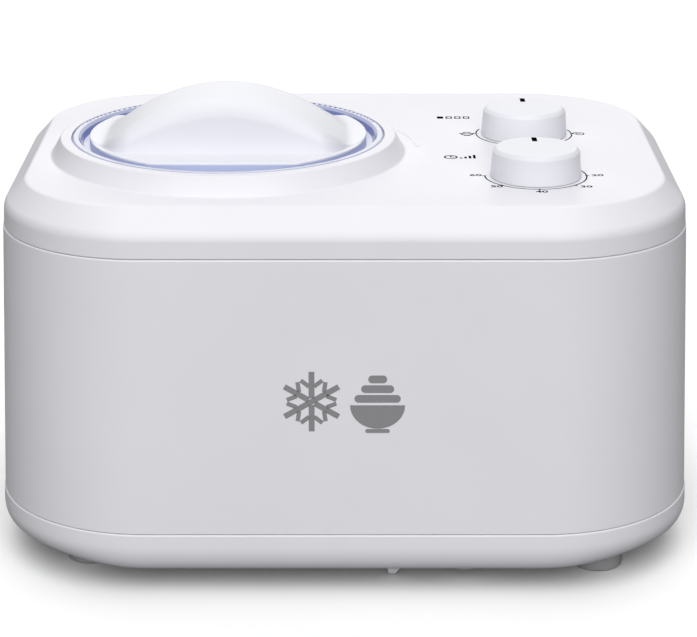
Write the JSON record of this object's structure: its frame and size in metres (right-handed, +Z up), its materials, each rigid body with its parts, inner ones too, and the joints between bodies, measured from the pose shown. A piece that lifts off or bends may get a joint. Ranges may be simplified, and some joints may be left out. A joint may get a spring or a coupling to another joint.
{
  "type": "yogurt maker",
  "caption": "Countertop frozen-yogurt and ice-cream maker with its own compressor: wide rounded white case, clear blue lid with an arched grip, two rotary knobs.",
  "frame": {"origin": "middle of the footprint, on the surface that the feet stand on", "axes": "+X to the user's right (long side), +Y to the back, +Z up; the front is -Y"},
  "size_m": [0.3884, 0.2984, 0.2551],
  "materials": {
    "shell_white": "satin white moulded ABS",
    "lid_clear": "clear polycarbonate with a light blue tint, polished",
    "lid_white": "smooth satin white ABS",
    "knob_white": "smooth satin white ABS with a black pointer mark",
    "seal_silicone": "matte translucent-white silicone",
    "foot_rubber": "matte grey moulded rubber",
    "mount_rubber": "matte black rubber",
    "bowl_aluminium": "fine spun and anodised",
    "bright_steel": "zinc plated or drawn",
    "paddle_white": "smooth food-safe plastic",
    "copper": "drawn copper tube",
    "foam": "expanded foam",
    "black_plastic": "fine-textured black",
    "nylon": "natural nylon",
    "board_green": "lacquered circuit board",
    "bronze": "sintered bronze",
    "black_enamel": "black enamel"
  },
  "bodies": {
    "case": {"base_tray": "shell_white", "body_sleeve": "shell_white", "rear_grille": "shell_white", "top_cover": "shell_white", "chamber_gasket": "seal_silicone", "shaft_seal": "seal_silicone", "foot_front_left": "foot_rubber", "foot_front_right": "foot_rubber", "foot_rear_left": "foot_rubber", "foot_rear_right": "foot_rubber", "compressor_grommet_1": "mount_rubber", "compressor_grommet_2": "mount_rubber", "compressor_grommet_3": "mount_rubber", "evaporator_cup": "bowl_aluminium", "condenser": "bowl_aluminium", "chassis_plate": "bright_steel", "compressor_bracket": "bright_steel", "compressor_bolt_1": "bright_steel", "compressor_bolt_2": "bright_steel", "compressor_bolt_3": "bright_steel", "case_screw_1": "bright_steel", "case_screw_2": "bright_steel", "case_screw_3": "bright_steel", "case_screw_4": "bright_steel", "evaporator_coil": "copper", "suction_line": "copper", "discharge_line": "copper", "liquid_line": "copper", "capillary_tube": "copper", "filter_drier": "copper", "insulation_shell": "foam", "cord_gland": "black_plastic", "gearbox_housing": "black_plastic", "gearbox_cover": "black_plastic", "fan_shroud": "black_plastic", "menu_switch": "black_plastic", "time_switch": "black_plastic", "start_relay": "black_plastic", "board_bracket": "black_plastic", "wiring_loom": "black_plastic", "control_board": "board_green", "lower_bush": "bronze", "upper_bush": "bronze", "compressor": "black_enamel", "drive_motor": "black_enamel", "fan_motor": "black_enamel"},
    "bowl": {"mixing_bowl": "bowl_aluminium"},
    "bail": {"bowl_bail": "bright_steel"},
    "seal": {"lid_seal": "seal_silicone"},
    "lid": {"lid_disc": "lid_clear", "lid_handle": "lid_white"},
    "paddle": {"paddle": "paddle_white"},
    "drive": {"drive_gear": "nylon", "drive_shaft": "bright_steel"},
    "pinion": {"drive_pinion": "bright_steel"},
    "fan": {"fan_impeller": "black_plastic"},
    "menu_dial": {"menu_knob": "knob_white", "menu_shaft": "nylon"},
    "time_dial": {"time_knob": "knob_white", "time_shaft": "nylon"}
  },
  "joints": [
    {"name": "bowl_lift", "type": "slide", "parent": "case", "child": "bowl", "axis": [0, 0, 1], "range_m": [0, 0.13]},
    {"name": "lid_lift", "type": "slide", "parent": "bowl", "child": "seal", "axis": [0, 0, 1], "range_m": [0, 0.12]},
    {"name": "lid_turn", "type": "hinge", "parent": "seal", "child": "lid", "pos_m": [-0.066, -0.015, 0.2245], "axis": [0, 0, 1], "range_deg": [-28, 0]},
    {"name": "bail_swing", "type": "hinge", "parent": "bowl", "child": "bail", "pos_m": [-0.066, -0.015, 0.2085], "axis": [1, 0, 0], "range_deg": [0, 90]},
    {"name": "paddle_spin", "type": "hinge", "parent": "bowl", "child": "paddle", "pos_m": [-0.066, -0.015, 0.14], "axis": [0, 0, 1], "continuous": true},
    {"name": "drive_spin", "type": "hinge", "parent": "case", "child": "drive", "pos_m": [-0.066, -0.015, 0.08], "axis": [0, 0, 1], "continuous": true},
    {"name": "pinion_spin", "type": "hinge", "parent": "case", "child": "pinion", "pos_m": [-0.018, -0.015, 0.08], "axis": [0, 0, 1], "continuous": true},
    {"name": "fan_spin", "type": "hinge", "parent": "case", "child": "fan", "pos_m": [0.06, 0.095, 0.08], "axis": [0, 1, 0], "continuous": true},
    {"name": "menu_turn", "type": "hinge", "parent": "case", "child": "menu_dial", "pos_m": [0.1044, 0.0247, 0.214], "axis": [0, 0, 1], "range_deg": [-270, 0]},
    {"name": "time_turn", "type": "hinge", "parent": "case", "child": "time_dial", "pos_m": [0.1044, -0.069, 0.214], "axis": [0, 0, 1], "range_deg": [-270, 0]}
  ],
  "couplings": [
    {"joint": "bail_swing", "follows": "lid_lift", "rad_per_m": 13.08},
    {"joint": "paddle_spin", "follows": "drive_spin", "ratio": 1},
    {"joint": "pinion_spin", "follows": "drive_spin", "ratio": -3}
  ]
}
